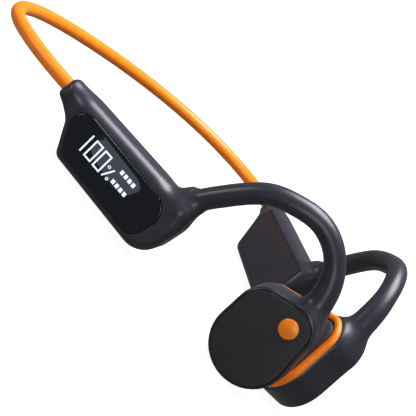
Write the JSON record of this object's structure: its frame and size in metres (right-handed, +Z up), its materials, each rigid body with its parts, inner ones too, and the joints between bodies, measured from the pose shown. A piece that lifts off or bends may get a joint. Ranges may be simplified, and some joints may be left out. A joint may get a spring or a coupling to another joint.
{
  "type": "bone conduction headphones",
  "caption": "Open-ear bone conduction headset: springy neckband, pods with display window, ear hooks and vibrating speakers with a round push button.",
  "frame": {"origin": "middle of the footprint, on the plane the headset stands on", "axes": "+Z up, the wearer faces -Y, the wearer's right side is -X"},
  "size_m": [0.1294, 0.1516, 0.0534],
  "materials": {
    "antenna_flex": "satin",
    "battery_pouch": "satin",
    "cable_sheath": "matte",
    "charcoal_cover": "satin",
    "charcoal_shell": "satin",
    "charcoal_silicone": "satin",
    "circuit_board": "satin",
    "coil_copper": "satin",
    "contact_gold": "polished",
    "display_lit": "glowing",
    "face_black": "matte",
    "foam_grey": "matte",
    "gasket_rubber": "matte",
    "key_black": "satin",
    "magnet_nickel": "polished",
    "microphone_can": "satin",
    "module_black": "satin",
    "motor_steel": "satin",
    "orange_button": "gloss",
    "orange_ring": "satin",
    "orange_silicone": "satin",
    "pad_silicone": "matte",
    "switch_body": "satin",
    "titanium_wire": "satin",
    "window_black": "gloss"
  },
  "bodies": {
    "right_side": {"accent_ring_right": "orange_ring", "antenna": "antenna_flex", "button_switch": "switch_body", "charging_contacts": "contact_gold", "charging_magnets": "magnet_nickel", "display_module": "module_black", "display_segments": "display_lit", "display_window_right": "window_black", "ear_hook_cable_right": "cable_sheath", "ear_hook_right": "charcoal_silicone", "ear_hook_wire_right": "titanium_wire", "face_plate_right": "face_black", "main_board": "circuit_board", "microphone": "microphone_can", "motor_magnet_right": "magnet_nickel", "motor_pole_piece_right": "motor_steel", "motor_yoke_right": "motor_steel", "neckband_cable_right": "cable_sheath", "neckband_sleeve_right": "orange_silicone", "neckband_wire_right": "titanium_wire", "pod_housing_right": "charcoal_shell", "pod_inner_cover_right": "charcoal_cover", "speaker_housing_right": "charcoal_shell", "suspension_spring_right": "motor_steel", "volume_switches": "switch_body", "window_gasket_right": "gasket_rubber"},
    "left_side": {"accent_ring_left": "orange_ring", "battery": "battery_pouch", "battery_board": "circuit_board", "battery_foam": "foam_grey", "blank_window_left": "window_black", "ear_hook_cable_left": "cable_sheath", "ear_hook_left": "charcoal_silicone", "ear_hook_wire_left": "titanium_wire", "face_plate_left": "face_black", "motor_magnet_left": "magnet_nickel", "motor_pole_piece_left": "motor_steel", "motor_yoke_left": "motor_steel", "neckband_cable_left": "cable_sheath", "neckband_sleeve_left": "orange_silicone", "neckband_wire_left": "titanium_wire", "pod_housing_left": "charcoal_shell", "pod_inner_cover_left": "charcoal_cover", "speaker_housing_left": "charcoal_shell", "suspension_spring_left": "motor_steel", "window_gasket_left": "gasket_rubber"},
    "multifunction_button": {"multifunction_button": "orange_button"},
    "volume_up": {"volume_up_key": "key_black"},
    "volume_down": {"volume_down_key": "key_black"},
    "skin_pad_right_moving": {"skin_pad_right": "pad_silicone", "voice_coil_right": "coil_copper"},
    "skin_pad_left_moving": {"skin_pad_left": "pad_silicone", "voice_coil_left": "coil_copper"}
  },
  "joints": [
    {"name": "neckband_flex", "type": "hinge", "parent": "right_side", "child": "left_side", "pos_m": [0, 0.07578, 0.00662], "axis": [0, 0, 1], "range_deg": [0, 55], "stiffness_Nm_per_rad": 0.2},
    {"name": "button_press", "type": "slide", "parent": "right_side", "child": "multifunction_button", "axis": [0.8927, 0.449, 0.0401], "range_m": [0, 0.00035], "stiffness_N_per_m": 3000},
    {"name": "volume_up_press", "type": "slide", "parent": "right_side", "child": "volume_up", "axis": [-0.0591, 0.0283, 0.9978], "range_m": [0, 0.0003], "stiffness_N_per_m": 3000},
    {"name": "volume_down_press", "type": "slide", "parent": "right_side", "child": "volume_down", "axis": [-0.0591, 0.0283, 0.9978], "range_m": [0, 0.0003], "stiffness_N_per_m": 3000},
    {"name": "skin_pad_right_vibration", "type": "slide", "parent": "right_side", "child": "skin_pad_right_moving", "axis": [-0.8927, -0.449, -0.0401], "range_m": [-0.00015, 0.00015], "stiffness_N_per_m": 15000},
    {"name": "skin_pad_left_vibration", "type": "slide", "parent": "left_side", "child": "skin_pad_left_moving", "axis": [0.8927, -0.449, -0.0401], "range_m": [-0.00015, 0.00015], "stiffness_N_per_m": 15000}
  ]
}
